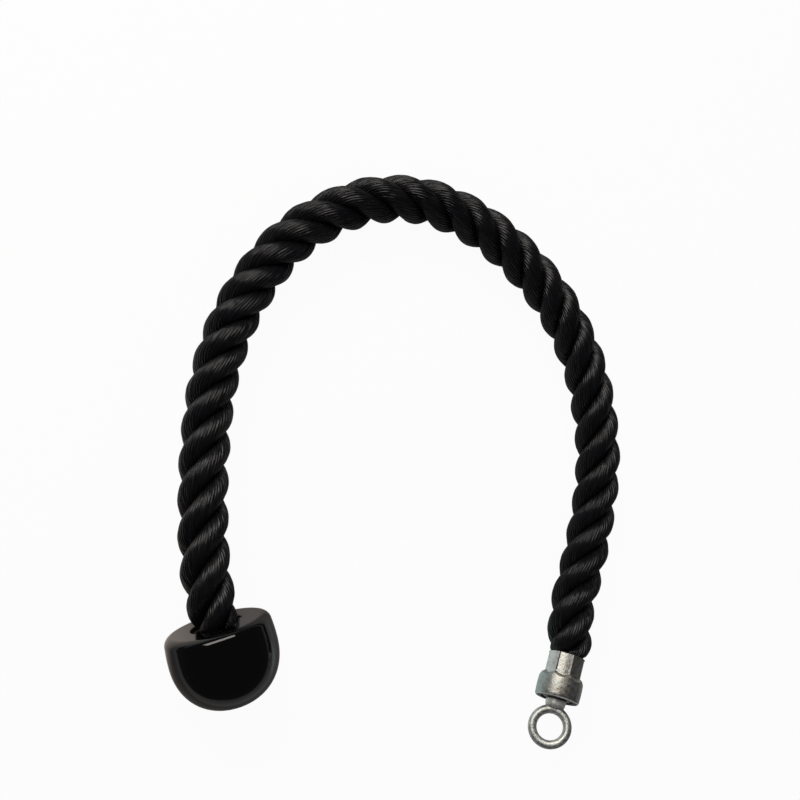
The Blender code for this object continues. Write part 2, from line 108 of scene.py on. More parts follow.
# Yarns on a strand, each some columns of points wide, which sway in depth along it
YARNS = 22
YARN_COLUMNS = 6
COLUMNS = YARNS * YARN_COLUMNS
YARN_TURNS_PER_LAY = -2.06
YARN_RELIEF = 0.00040
YARN_UNEVENNESS = 0.00036
YARN_SWAYS = [0.0085, 0.0130, 0.0210]
SWAY_SPREAD = (0.8, 1.25)
YARN_SEED = 5
YARN_MAP = "yarns"

# End cap
CAP_RADIUS = 0.0300
CAP_DEPTH = 0.0460
CAP_RIM_FILLET = 0.0050
CAP_RIM_DRAFT = 0.0006
CAP_WIDEST_AT = 0.0150
DRAFT_STEPS = 5
DOME_POWER = 2.2
DOME_STEPS = 36
CAP_BORE_RADIUS = 0.0142
CAP_BORE_DEPTH = 0.0315
CAP_BORE_CHAMFER = 0.001
CAP_MOUTH_EDGE = 0.0006
CAP_FACE_MARGIN = 0.0003
CAP_SIDES = 160
COLLAR_LENGTH = 0.0060
COLLAR_INSIDE = 0.0119
COLLAR_OUTSIDE = 0.0139
COLLAR_CHAMFER = 0.0008
COLLAR_EDGE = 0.00015
COLLAR_SIDES = 128
TAB_ANGLES = [math.radians(angle) for angle in (45, 165, 285)]
TAB_WIDTH = 0.0140
TAB_ROOT_RADIUS = 0.0152
TAB_TIP_RADIUS = 0.0122
TAB_FRONT = 0.0005
TAB_BACK = 0.0019

# Ferrule
FERRULE_LENGTH = 0.0268
FERRULE_SIDES = 192
BARREL_LENGTH = 0.0130
BARREL_INSIDE = 0.0099
BARREL_RADIUS = 0.0112
BARREL_EDGE = 0.0004
BARREL_ROWS = 12
CUP_RADIUS = 0.0132
CUP_INSIDE = 0.0119
CUP_BULGE = 0.0003
CUP_ROWS = 12
CRIMPS = 8
CRIMP_TURN = math.radians(31)
CRIMP_DEPTH = 0.0005
CRIMP_POWER = 4
SCALLOP_HEIGHT = 0.0016
SCALLOP_POWER = 2
SHOULDER_RUN = 0.0021
SHOULDER_ROWS = 18
LIP = 0.0013
LIP_INSIDE = 0.0098
LIP_FILLET = 0.0011
LIP_INNER_FILLET = 0.0005
SEAM_WIDTH = 0.0007
SLIT_REACH = 0.006
SLIT_OVERSHOOT = 0.002
NEAR = 1e-5

# Disc and eye, which turn past each other with a running gap
RUNNING_GAP = 0.0003
DISC_FRONT = 0.0016
DISC_THICKNESS = 0.0020
DISC_BOSS_HEIGHT = 0.0010
DISC_BOSS_EDGE = 0.0004
DISC_GROOVE = 0.0014
DISC_SIDES = 128
EYE_ROLL = math.radians(31)
EYE_SIDES = 96
SHANK_RADIUS = 0.0040
SHANK_END = 0.0118
SHANK_CHAMFER = 0.0006
NECK_LENGTH = 0.0035
NECK_RADIUS = 0.0062
NECK_CHAMFER = 0.0003
NECK_WAIST = 0.0059
NECK_STRAIGHT_TO = 0.25
NECK_WAIST_FROM = 0.9
NECK_CROWN = [(0.0005, 0.0012), (NECK_WAIST / 2, 0.0020), (NECK_WAIST, 0.0024)]
RING_HOLE_RADIUS = 0.0078
RING_WIRE_RADIUS = 0.0025
RING_SIDES = (160, 40)
MELT_ALLOWANCE = 0.00010
MELT_VOXEL = 0.00022
MELT_SMOOTHINGS = 4

# Marks on the zinc, as shares, with the places and widths of their marks: painted cool light and an
# even tone, painted shade, and painted light, painted highlights and wear
# Painted cool light on one side of the ferrule, most on the barrel, and the zinc's even tone
COOL_LIGHT_SIDE = math.radians(110)
COOL_FROM = 0.3
COOL_FADE = 0.5
TONE_SHIFT = -0.2
COOL_LIGHT_ON_BARREL = 0.6
COOL_LIGHT_ON_CUP = 0.4
TONE_OF_EYE = 0.05
# Painted shade behind the lip, along the scallops, on the cup's cool side, on the disc, at the
# neck's foot and under the ring
SHADE_IN_CUP = 0.9
SHADE_PAST_FILLET = 0.8
SHADE_PAST_BARREL = 0.001
SHADE_AT_SCALLOPS = 0.12
SHADE_ON_COOL_CUP = 0.25
SCALLOP_LINE_AT = 0.0003
LINE_WIDTH = 0.0005
SHADE_ON_BOSS = 0.5
SHADE_IN_GROOVE = 0.95
SHADE_AT_NECK_FOOT = 0.85
SHADE_UNDER_RING = 0.30
RING_CREASE_AT = 0.0007
RING_CREASE_FROM = 0.8
CREASE_LINE_FROM = 0.97
CREASE_LINE_DEPTH = 0.0005
# Painted highlights on the creases and the lip's edge, painted light on the barrel's cool side and
# on the neck, and even wear on the ring
HIGHLIGHT_ON_CREASES = 0.8
LIGHT_ON_COOL_BARREL = 0.6
HIGHLIGHT_ON_LIP = 1.0
LIP_LINE_AT = 0.3
WEAR_ON_RING = 0.2
LIGHT_ON_NECK = 0.8
NECK_LIGHT_RUN = 0.002

# Colours of the finishes
YARN_DARK = (0.0024, 0.0024, 0.0031)
YARN_LIGHT = (0.0058, 0.0058, 0.0070)
CAP_BLACK = (0.0015, 0.0015, 0.0015)
COLLAR_BLACK = (0.003, 0.003, 0.003)
ZINC_WARM = (0.48, 0.455, 0.385)
# The cool end of the tint is also the colour of the painted cool light
ZINC_COOL = (0.78, 0.865, 0.86)
# Rubbed zinc, whose colour also gives the painted light and highlights
ZINC_RUBBED_AND_LIT = (0.95, 0.94, 0.89)
# Colour of the painted shade on the zinc
PAINTED_SHADE_DARK = (0.03, 0.03, 0.035)

# Roughness of the finishes. Smears take a plastic's down and up to these shares of its own
CAP_GLOSS = 0.05
COLLAR_SATIN = 0.32
SMEARS = (0.8, 1.3)
YARN_GLOSS = (0.23, 0.34)
ZINC_SATIN = (0.38, 0.50)

# Table. To the camera it is white. What the cap, the zinc and the rope mirror of it is grey, ends
# at an edge in x, and has pools of light and shade, each with its middle, radius, fade and
# colour. A later pool covers an earlier one.
TABLE_SIZE = 12
TABLE_MIDDLE = (0.02, 0.11, -0.0002)
TABLE_WHITE = (0.8, 0.8, 0.8)
TABLE_SHARE_SEEN = 0.95
TABLE_EDGE = -0.222
TABLE_EDGE_FADE = 0.004
TABLE_GREY = (0.50, 0.50, 0.52)
TABLE_BEYOND_EDGE = (0.08, 0.08, 0.08)
TABLE_POOLS = [
    ((-0.170, 0.150, 0.0), 0.050, 0.050, (0.98, 0.98, 1.0)),
    ((-0.095, 0.000, 0.0), 0.075, 0.040, (0.24, 0.225, 0.215)),
    ((-0.420, 0.330, 0.0), 0.120, 0.080, (0.78, 0.93, 0.97)),
    ((-0.122, 0.062, 0.0), 0.028, 0.045, (0.98, 0.91, 0.84)),
    ((0.070, -0.012, 0.0), 0.030, 0.024, (0.80, 0.98, 0.98)),
]

# Room, lamp and camera
ROOM_IN_GLOSS = (0.045, 0.045, 0.05)
ROOM_LIGHT = (0.36, 0.36, 0.37)
ROOM_SEEN = (0.985, 0.985, 0.985)
LAMP_PLACE = (-0.55, 1.2, 0.88)
LAMP_AIM = (0.0, 0.12, 0.0)
LAMP_SIZE = (1.5, 0.6)
LAMP_POWER = 16
LAMP_COLOUR = (1.0, 0.95, 0.90)
CAMERA_LEAN = math.radians(20)
CAMERA_TARGET = (0.0179, 0.1588, 0.0)
CAMERA_DISTANCE = 0.697
CAMERA_LENS = 52.65
CAMERA_SENSOR = 36

# Modelling: the plane that a profile grows from, and how close points are merged
START_PLANE = 0.001
PROFILE_DOUBLES = 1e-6
SPIN_DOUBLES = 2e-6


def way_of(heading, rise=0.0):
    """The direction at a heading, which turns from -Y towards +X, and a rise."""
    level = math.cos(rise)
    return np.array((math.sin(heading) * level, -math.cos(heading) * level, math.sin(rise)))


def ease(share):
    """A share from 0 to 1 that starts and ends gently."""
    share = np.clip(share, 0, 1)
    return share * share * (3 - 2 * share)


def unit(rows):
    """Each row at length 1."""
    return rows / np.linalg.norm(rows, axis=-1, keepdims=True)


def route_points():
    """The route with its heights: down from the cap to the floor, and up again to the ferrule."""
    plan = np.array(ROUTE)
    walked = np.concatenate([[0], np.cumsum(np.linalg.norm(np.diff(plan, axis=0), axis=1))])
    left_to_go = walked[-1] - walked
    high = (CAP_RADIUS - ROPE_RADIUS) * (1 - ease(walked / DESCENT_RUN))
    curl = np.clip(1 - left_to_go / RISE_RUN, 0, 1)
    raised = RISE_RUN * math.tan(FERRULE_RISE) * curl**2 / 2
    return np.column_stack([plan, ROPE_RADIUS + high + raised])


def smooth_line(points, first_way, last_way, steps):
    """Close points on the one smooth curve through the given points."""
    spans = np.linalg.norm(np.diff(points, axis=0), axis=1)
    last = len(points) - 1
    weights = np.zeros((last + 1, last + 1))
    wanted = np.zeros((last + 1, 3))
    weights[0, 0] = weights[last, last] = 1
    wanted[0], wanted[last] = first_way, last_way
    for i in range(1, last):
        before, after = spans[i - 1], spans[i]
        weights[i, i - 1 : i + 2] = after, 2 * (before + after), before
        into, out_of = (points[i] - points[i - 1]) / before, (points[i + 1] - points[i]) / after
        wanted[i] = 3 * (after * into + before * out_of)
    slopes = np.linalg.solve(weights, wanted)
    line = []
    for i, span in enumerate(spans):
        for share in np.arange(steps) / steps:
            blend = ease(share)
            line.append(
                (1 - blend) * points[i]
                + blend * points[i + 1]
                + share * (1 - share) ** 2 * span * slopes[i]
                + share**2 * (share - 1) * span * slopes[i + 1]
            )
    return np.array(line + [points[last]])


def rope_stations(line, first_way, last_way, step):
    """Distance from the cap's mouth, place, two directions across and bend, at each station."""
    whole = [line[0] - first_way * ROPE_IN_CAP, line, line[-1] + last_way * ROPE_IN_FERRULE]
    whole = np.vstack(whole)
    walked = np.concatenate([[0], np.cumsum(np.linalg.norm(np.diff(whole, axis=0), axis=1))])
    walked -= ROPE_IN_CAP
    count = math.ceil((walked[-1] - walked[0]) / step) + 1
    distances = np.linspace(walked[0], walked[-1], count)
    places = np.column_stack([np.interp(distances, walked, axis) for axis in whole.T])
    ways = unit(np.gradient(places, distances, axis=0))
    bends = np.linalg.norm(np.gradient(ways, distances, axis=0), axis=1)
    normals = [unit(np.cross(ways[0], (1.0, 0.0, 0.0)))]
    for way in ways[1:]:
        normals.append(unit(normals[-1] - np.dot(normals[-1], way) * way))
    normals = np.array(normals)
    return distances, places, normals, np.cross(ways, normals), bends


def rope_radius_at(distance, free_length):
    """The rope is squeezed in the cap and in the ferrule, out of whose mouth it swells at once."""
    from_collar = np.clip((distance + COLLAR_RECESS - NECK_MARGIN) / CAP_NECK_RUN, 0, 1)
    from_ferrule = np.clip((free_length - distance - NECK_MARGIN) / FERRULE_NECK_RUN, 0, 1)
    in_cap = CAP_SQUEEZE * (1 - from_collar**CAP_NECK_POWER)
    in_ferrule = FERRULE_SQUEEZE * (1 - from_ferrule**FERRULE_NECK_POWER)
    return ROPE_RADIUS - in_cap - in_ferrule


def strand_turn(distance, number):
    """The turn of a strand round the rope, a little tighter on the way up to the arch."""
    share = (distance - TIGHTER_LAY_FROM) / (TIGHTER_LAY_TO - TIGHTER_LAY_FROM)
    even = FIRST_TURN + math.tau * (distance / LAY_LENGTH + number / STRANDS)
    return even + TIGHTER_LAY_TURN * ease(share)


def strand_layout(bend):
    """How far from the rope's middle a strand runs, and how thick it is, pressed on the others."""
    offsets = np.linspace(ROPE_RADIUS / 3, ROPE_RADIUS, OFFSETS_TRIED)[:, None]
    turns = np.linspace(-math.pi / 2, 0, TURNS_TRIED)[None, :]
    climb = LAY_LENGTH * (1 - offsets * bend) / math.tau
    across = 2 * offsets**2 * (1 - np.cos(turns + math.tau / STRANDS))
    radii = (np.sqrt((across + (climb * turns) ** 2).min(axis=1)) + STRANDS_PRESS) / 2
    offset = np.interp(ROPE_RADIUS, offsets[:, 0] + radii, offsets[:, 0])
    return offset, ROPE_RADIUS - offset


def squeezed(rings, stations, free_length):
    """Draws each point in towards the rope's middle, by its own distance along the rope."""
    distances, places, normals, sides = stations[:4]
    ways = np.cross(normals, sides)[:, None, :]
    reach = rings - places[:, None, :]
    along = np.sum(reach * ways, axis=2, keepdims=True)
    share = rope_radius_at(distances[:, None, None] + along, free_length) / ROPE_RADIUS
    return places[:, None, :] + along * ways + (reach - along * ways) * share


def yarn_depths(number, distances):
    """How deep each column lies on its yarn's round, and how deep each yarn sways along it."""
    across_yarn = 2 * (np.arange(COLUMNS) % YARN_COLUMNS) / YARN_COLUMNS - 1
    sunk = YARN_RELIEF * (1 - np.sqrt(1 - across_yarn**2))
    chance = np.random.default_rng(number + YARN_SEED)
    swayed = np.zeros((len(distances), YARNS))
    for sway in YARN_SWAYS:
        lengths = sway * chance.uniform(*SWAY_SPREAD, YARNS)
        swayed += 1 + np.sin(math.tau * (distances[:, None] / lengths + chance.random(YARNS)))
    swayed *= YARN_UNEVENNESS / (2 * len(YARN_SWAYS))
    return sunk, swayed


def strand_rings(number, stations, free_length):
    """A ring of points at each station, whose columns follow the yarns as rounded ridges."""
    distances, places, normals, sides, bends = stations
    offsets, radii = np.array([strand_layout(bend) for bend in bends]).T
    turns = strand_turn(distances, number)
    outward = np.cos(turns)[:, None] * normals + np.sin(turns)[:, None] * sides
    centres = places + offsets[:, None] * outward
    ways = unit(np.gradient(centres, axis=0))
    out = unit(outward - np.sum(outward * ways, axis=1, keepdims=True) * ways)
    across = np.cross(ways, out)
    yarn_turn = math.tau * YARN_TURNS_PER_LAY * distances / LAY_LENGTH
    angles = yarn_turn[:, None] + math.tau * np.arange(COLUMNS)[None, :] / COLUMNS
    sunk, swayed = yarn_depths(number, distances)
    heights = radii[:, None] - sunk[None, :] - np.repeat(swayed, YARN_COLUMNS, axis=1)
    reach = np.cos(angles)[:, :, None] * out[:, None, :]
    reach += np.sin(angles)[:, :, None] * across[:, None, :]
    return squeezed(centres[:, None, :] + heights[:, :, None] * reach, stations, free_length)


def yarn_coordinates(distances, corner_count):
    """The UV map of a strand's corners: the share of a turn round it, and the distance along."""
    shape = (len(distances) - 1, COLUMNS)
    low = np.broadcast_to(np.arange(COLUMNS) / COLUMNS, shape)
    high = low + 1 / COLUMNS
    start = np.broadcast_to(distances[:-1, None], shape)
    end = np.broadcast_to(distances[1:, None], shape)
    corners = np.stack([low, start, high, start, high, end, low, end], axis=-1).reshape(-1)
    coordinates = np.zeros(2 * corner_count)
    coordinates[: len(corners)] = corners
    return coordinates


def make_strand(number, stations, free_length, material):
    """One strand: a closed tube of quads through its rings, with its yarns' UV map."""
    rings = strand_rings(number, stations, free_length)
    count = len(rings)
    first = np.arange(count - 1)[:, None] * COLUMNS + np.arange(COLUMNS)[None, :]
    beside = np.roll(first, -1, axis=1)
    quads = np.stack([first, beside, beside + COLUMNS, first + COLUMNS], axis=-1)
    faces = quads.reshape(-1, 4).tolist()
    faces.append(list(range(COLUMNS))[::-1])
    faces.append(list(range((count - 1) * COLUMNS, count * COLUMNS)))
    mesh = bpy.data.meshes.new(f"strand_{number + 1}")
    mesh.from_pydata(rings.reshape(-1, 3).tolist(), [], faces)
    mesh.shade_smooth()
    layer = mesh.uv_layers.new(name=YARN_MAP)
    layer.data.foreach_set("uv", yarn_coordinates(stations[0], len(mesh.loops)))
    mesh.materials.append(material)
    strand = bpy.data.objects.new(f"strand_{number + 1}", mesh)
    bpy.context.scene.collection.objects.link(strand)
    return strand


def deselect_all():
    """Leaves edit mode and deselects every object."""
    if bpy.context.object and bpy.context.object.mode != "OBJECT":
        bpy.ops.object.mode_set(mode="OBJECT")
    bpy.ops.object.select_all(action="DESELECT")


def select_only(piece):
    """Makes a piece the one selected and active object."""
    deselect_all()
    piece.select_set(True)
    bpy.context.view_layer.objects.active = piece


def face_outwards():
    """Turns all faces of the mesh in edit mode outwards, and leaves edit mode."""
    bpy.ops.mesh.select_all(action="SELECT")
    bpy.ops.mesh.normals_make_consistent(inside=False)
    bpy.ops.object.mode_set(mode="OBJECT")


def turned(name, profile, steps, closed=False):
    """Extrudes a profile of (radius, height) points from a single point, and spins it round Z."""
    deselect_all()
    start = (profile[0][0], 0, profile[0][1])
    bpy.ops.mesh.primitive_plane_add(size=START_PLANE, location=start)
    piece = bpy.context.object
    bpy.ops.object.transform_apply(location=True)
    piece.name = piece.data.name = name
    bpy.ops.object.mode_set(mode="EDIT")
    bpy.ops.mesh.select_all(action="SELECT")
    bpy.ops.mesh.merge(type="CENTER")
    points = profile[1:] + ([profile[0]] if closed else [])
    here = profile[0]
    for point in points:
        step = (point[0] - here[0], 0, point[1] - here[1])
        bpy.ops.mesh.extrude_region_move(TRANSFORM_OT_translate={"value": step})
        here = point
    bpy.ops.mesh.select_all(action="SELECT")
    bpy.ops.mesh.remove_doubles(threshold=PROFILE_DOUBLES)
    bpy.ops.mesh.spin(steps=steps, angle=math.tau, center=(0, 0, 0), axis=(0, 0, 1))
    bpy.ops.mesh.select_all(action="SELECT")
    bpy.ops.mesh.remove_doubles(threshold=SPIN_DOUBLES)
    face_outwards()
    return piece


def arc(centre, radius, start, end, steps):
    """Points of a profile on an arc round a centre, from a start angle to an end angle."""
    angles = [start + (end - start) * step / steps for step in range(steps + 1)]
    return [
        (centre[0] + radius * math.cos(angle), centre[1] + radius * math.sin(angle))
        for angle in angles
    ]


def apply_modifiers(piece):
    """Applies a piece's modifiers in their order."""
    select_only(piece)
    for modifier in list(piece.modifiers):
        bpy.ops.object.modifier_apply(modifier=modifier.name)


def cut_or_join(piece, other, operation):
    """An exact cut or join with another shape, which is then deleted."""
    modifier = piece.modifiers.new(operation, "BOOLEAN")
    modifier.operation = operation
    modifier.solver = "EXACT"
    modifier.object = other
    apply_modifiers(piece)
    bpy.data.objects.remove(other)


def soften(piece, width, segments=2, angle=30):
    """A small bevel on the sharp edges."""
    bevel = piece.modifiers.new("edge", "BEVEL")
    bevel.width = width
    bevel.segments = segments
    bevel.limit_method = "ANGLE"
    bevel.angle_limit = math.radians(angle)
    bevel.harden_normals = False
    apply_modifiers(piece)


def shade(piece, angle=40):
    """Smooth shading, but for edges sharper than an angle in degrees."""
    select_only(piece)
    bpy.ops.object.shade_smooth_by_angle(angle=math.radians(angle))


def place(piece, seat, material):
    """Moves a finished piece from the workbench at the origin to its seat, in its mesh."""
    piece.data.transform(seat)
    piece.data.materials.clear()
    piece.data.materials.append(material)
    return piece


def seat_of(point, way, roll=0.0):
    """The place of a fitting whose own Z runs along a way from a point."""
    z_axis = Vector(way).normalized()
    up = Vector((0, 0, 1))
    x_axis = (up - up.dot(z_axis) * z_axis).normalized()
    y_axis = z_axis.cross(x_axis)
    turned_to = Matrix((x_axis, y_axis, z_axis)).transposed().to_4x4()
    return Matrix.Translation(point) @ turned_to @ Matrix.Rotation(roll, 4, "Z")


def mark(piece, name, share_at):
    """Gives each point its share of one mark, by its radius, height and angle. The marks are
    painted shade, wear with painted light, and tone with painted cool light.
    """
    shares = [
        share_at(math.hypot(point.co.x, point.co.y), point.co.z, math.atan2(point.co.y, point.co.x))
        for point in piece.data.vertices
    ]
    layer = piece.data.attributes.new(name, "FLOAT", "POINT")
    layer.data.foreach_set("value", shares)


def mouth_tabs():
    """Three wedges that point from the bore's wall towards the rope, joined as one shape."""
    corners = (
        (TAB_TIP_RADIUS, 0),
        (TAB_ROOT_RADIUS, TAB_WIDTH / 2),
        (TAB_ROOT_RADIUS, -TAB_WIDTH / 2),
    )
    deselect_all()
    wedges = []
    for angle in TAB_ANGLES:
        bpy.ops.mesh.primitive_cylinder_add(vertices=3, radius=1, depth=1)
        wedge = bpy.context.object
        around = sorted(wedge.data.vertices, key=lambda point: math.atan2(point.co.y, point.co.x))
        for number, point in enumerate(around):
            x, y = corners[number // 2]
            point.co = (x, y, TAB_FRONT if point.co.z < 0 else TAB_BACK)
        wedge.rotation_euler = (0, 0, angle)
        wedges.append(wedge)
    deselect_all()
    for wedge in wedges:
        wedge.select_set(True)
    bpy.context.view_layer.objects.active = wedges[0]
    bpy.ops.object.transform_apply(location=True, rotation=True, scale=True)
    bpy.ops.object.join()
    bpy.ops.object.mode_set(mode="EDIT")
    face_outwards()
    return wedges[0]


def cap_profile():
    """The bore, the flat face, the rounded rim with its draft, and the dome."""
    edge, fillet = CAP_MOUTH_EDGE, CAP_RIM_FILLET
    rim_radius = CAP_RADIUS - CAP_RIM_DRAFT
    profile = [
        (0, CAP_BORE_DEPTH),
        (CAP_BORE_RADIUS - CAP_BORE_CHAMFER, CAP_BORE_DEPTH),
        (CAP_BORE_RADIUS, CAP_BORE_DEPTH - CAP_BORE_CHAMFER),
        (CAP_BORE_RADIUS, edge),
    ]
    profile += arc((CAP_BORE_RADIUS + edge, edge), edge, math.pi, math.pi * 1.5, steps=6)[1:]
    profile.append((CAP_BORE_RADIUS + edge + CAP_FACE_MARGIN, 0))
    profile.append((rim_radius - fillet - CAP_FACE_MARGIN, 0))
    profile += arc((rim_radius - fillet, fillet), fillet, -math.pi / 2, 0, steps=14)
    for step in range(1, DRAFT_STEPS + 1):
        share = step / DRAFT_STEPS
        height = fillet + (CAP_WIDEST_AT - fillet) * share
        profile.append((CAP_RADIUS - CAP_RIM_DRAFT * (1 - share) ** 2, height))
    for step in range(1, DOME_STEPS):
        angle = math.pi / 2 * step / DOME_STEPS
        rise = (CAP_DEPTH - CAP_WIDEST_AT) * math.sin(angle) ** (2 / DOME_POWER)
        radius = CAP_RADIUS * math.cos(angle) ** (2 / DOME_POWER)
        profile.append((radius, CAP_WIDEST_AT + rise))
    profile.append((0, CAP_DEPTH))
    return profile


def make_cap(seat, material):
    """The moulded cap, with its retaining tabs in the mouth."""
    cap = turned("cap_shell", cap_profile(), CAP_SIDES)
    cut_or_join(cap, mouth_tabs(), "UNION")
    shade(cap, angle=30)
    return place(cap, seat, material)


def make_collar(seat, material):
    """The ring inside the cap's mouth, behind the tabs, with a chamfer round the rope."""
    start, end = COLLAR_RECESS, COLLAR_RECESS + COLLAR_LENGTH
    profile = [
        (COLLAR_INSIDE, end),
        (COLLAR_INSIDE, start + COLLAR_CHAMFER),
        (COLLAR_INSIDE + COLLAR_CHAMFER, start),
        (COLLAR_OUTSIDE, start),
        (COLLAR_OUTSIDE, end),
    ]
    collar = turned("mouth_collar", profile, COLLAR_SIDES, closed=True)
    soften(collar, COLLAR_EDGE)
    shade(collar)
    return place(collar, seat, material)


def crimp_share(angle):
    """0 in the middle of a flat, 1 on the crease between two flats."""
    turn = (angle - CRIMP_TURN) * CRIMPS / math.tau
    return 2 * abs(turn - round(turn))


def scallop_at(angle):
    """The height at which the barrel's flats end, lower at the creases."""
    return BARREL_LENGTH - SCALLOP_HEIGHT * crimp_share(angle) ** SCALLOP_POWER


def ferrule_profile():
    """The ferrule's wall, as wide as the cup all along: the barrel is pressed in later."""
    edge, lip_edge = BARREL_EDGE, LIP_INNER_FILLET
    scallops = BARREL_LENGTH - SCALLOP_HEIGHT
    shoulder_end = BARREL_LENGTH + SHOULDER_RUN
    cup_end = FERRULE_LENGTH - LIP_FILLET
    lip_back = FERRULE_LENGTH - LIP
    profile = arc((BARREL_RADIUS - edge, edge), edge, -math.pi / 2, 0, steps=4)
    heights = np.linspace(edge, scallops, BARREL_ROWS)[1:].tolist()
    heights += np.linspace(scallops, shoulder_end, SHOULDER_ROWS)[1:].tolist()
    heights += np.linspace(shoulder_end, cup_end, CUP_ROWS)[1:].tolist()
    profile += [(CUP_RADIUS, height) for height in heights]
    profile += arc((CUP_RADIUS - LIP_FILLET, cup_end), LIP_FILLET, 0, math.pi / 2, steps=10)[1:]
    inner = (LIP_INSIDE + lip_edge, FERRULE_LENGTH - lip_edge)
    profile += arc(inner, lip_edge, math.pi / 2, math.pi, steps=5)
    profile += [(LIP_INSIDE, lip_back), (CUP_INSIDE, lip_back), (CUP_INSIDE, shoulder_end)]
    profile += [(BARREL_INSIDE, BARREL_LENGTH), (BARREL_INSIDE, edge)]
    profile += arc((BARREL_INSIDE + edge, edge), edge, math.pi, math.pi * 1.5, steps=4)
    return profile


def press_outside(ferrule):
    """Presses the flats, creases and scallops into the barrel's outside, and bulges the cup."""
    cup_end = FERRULE_LENGTH - LIP_FILLET
    for point in ferrule.data.vertices:
        radius = math.hypot(point.co.x, point.co.y)
        in_barrel = radius < (BARREL_INSIDE + BARREL_RADIUS) / 2
        in_cup = radius < CUP_INSIDE + NEAR and point.co.z > BARREL_LENGTH - NEAR
        if in_barrel or in_cup or not BARREL_EDGE / 2 < point.co.z < cup_end + NEAR:
            continue
        angle = math.atan2(point.co.y, point.co.x)
        pressed = BARREL_RADIUS - CRIMP_DEPTH * (1 - crimp_share(angle) ** CRIMP_POWER)
        blend = float(ease((point.co.z - scallop_at(angle)) / SHOULDER_RUN))
        share = (point.co.z - BARREL_LENGTH) / (FERRULE_LENGTH - BARREL_LENGTH)
        cup = CUP_RADIUS + CUP_BULGE * math.sin(math.pi * min(max(share, 0), 1))
        wanted = pressed + (cup - pressed) * blend
        point.co.x *= wanted / radius
        point.co.y *= wanted / radius


def seam_block():
    """A thin block where the barrel's open seam is cut."""
    turn = CRIMP_TURN + math.pi / CRIMPS
    length = BARREL_LENGTH - SCALLOP_HEIGHT + SLIT_OVERSHOOT
    middle = (BARREL_INSIDE + BARREL_RADIUS) / 2
    deselect_all()
    bpy.ops.mesh.primitive_cube_add(
        size=1,
        location=(middle * math.cos(turn), middle * math.sin(turn), length / 2 - SLIT_OVERSHOOT),
        rotation=(0, 0, turn),
    )
    block = bpy.context.object
    block.scale = (SLIT_REACH, SEAM_WIDTH, length)
    bpy.ops.object.transform_apply(location=True, rotation=True, scale=True)
    return block


def line_share(distance):
    """1 on a mark's line, fading to both sides of it."""
    return math.exp(-((distance / LINE_WIDTH) ** 2))


def cool_light_side(angle):
    """1 on the side of the ferrule where cool light is painted into the zinc, fading to 0 round it.
    """
    return float(ease((math.cos(angle - COOL_LIGHT_SIDE) - COOL_FROM) / COOL_FADE))


def ferrule_tone_and_cool_light(radius, height, angle):
    """How much cooler the zinc is: an even shift, and painted cool light, most on the barrel's cool
    side.
    """
    most = COOL_LIGHT_ON_BARREL if height < BARREL_LENGTH else COOL_LIGHT_ON_CUP
    return most * cool_light_side(angle) + TONE_SHIFT


def ferrule_painted_shade(radius, height, angle):
    """Painted shade: dark behind the lip, in a line along the scallops, and a little on the cup's
    cool side.
    """
    in_lip = radius < CUP_RADIUS - SHADE_PAST_FILLET * LIP_FILLET
    if in_lip and height > BARREL_LENGTH + SHADE_PAST_BARREL:
        return SHADE_IN_CUP
    on_cup = float(ease((height - BARREL_LENGTH) / SHOULDER_RUN))
    at_scallops = line_share(height - scallop_at(angle) - SCALLOP_LINE_AT)
    return SHADE_AT_SCALLOPS * at_scallops + SHADE_ON_COOL_CUP * on_cup * cool_light_side(angle)


def ferrule_painted_light(radius, height, angle):
    """Painted highlights on the creases and along the lip's edge, and painted light on the barrel's
    cool side.
    """
    if height < scallop_at(angle):
        on_crease = crimp_share(angle) > CREASE_LINE_FROM
        if on_crease and radius > BARREL_INSIDE + CREASE_LINE_DEPTH:
            return HIGHLIGHT_ON_CREASES
        return LIGHT_ON_COOL_BARREL * cool_light_side(angle)
    inset = LIP_LINE_AT * LIP_FILLET
    from_edge = math.hypot(radius - CUP_RADIUS + inset, height - FERRULE_LENGTH + inset)
    return HIGHLIGHT_ON_LIP if from_edge < LINE_WIDTH else 0


def make_ferrule(seat, material):
    """The barrel, pressed in eight flats and slit along its seam, and the cup with its lip."""
    ferrule = turned("crimped_ferrule", ferrule_profile(), FERRULE_SIDES, closed=True)
    press_outside(ferrule)
    cut_or_join(ferrule, seam_block(), "DIFFERENCE")
    # Painted cool light and tone, painted shade, and painted light and highlights
    mark(ferrule, "tone_and_cool_light", ferrule_tone_and_cool_light)
    mark(ferrule, "painted_shade", ferrule_painted_shade)
    mark(ferrule, "wear_and_painted_light", ferrule_painted_light)
    shade(ferrule, angle=35)
    return place(ferrule, seat, material)


def make_disc(seat, material):
    """The disc behind the lip, with its raised boss round the shank."""
    outside = CUP_INSIDE - RUNNING_GAP
    hole = SHANK_RADIUS + RUNNING_GAP
    boss, edge = LIP_INSIDE - DISC_GROOVE, DISC_BOSS_EDGE
    front = FERRULE_LENGTH - DISC_FRONT
    back, top = front - DISC_THICKNESS, front + DISC_BOSS_HEIGHT
    profile = [(outside, back), (outside, front), (boss, front)]
    profile += arc((boss - edge, top - edge), edge, 0, math.pi / 2, steps=5)
    profile += [(hole, top), (hole, back)]

    def painted_shade(radius, height, angle):
        """Painted shade: dark in the groove round the boss, less on its face."""
        return SHADE_ON_BOSS if height > front + DISC_BOSS_HEIGHT / 2 else SHADE_IN_GROOVE

    disc = turned("seat_disc", profile, DISC_SIDES, closed=True)
    mark(disc, "painted_shade", painted_shade)
    shade(disc, angle=35)
    return place(disc, seat, material)


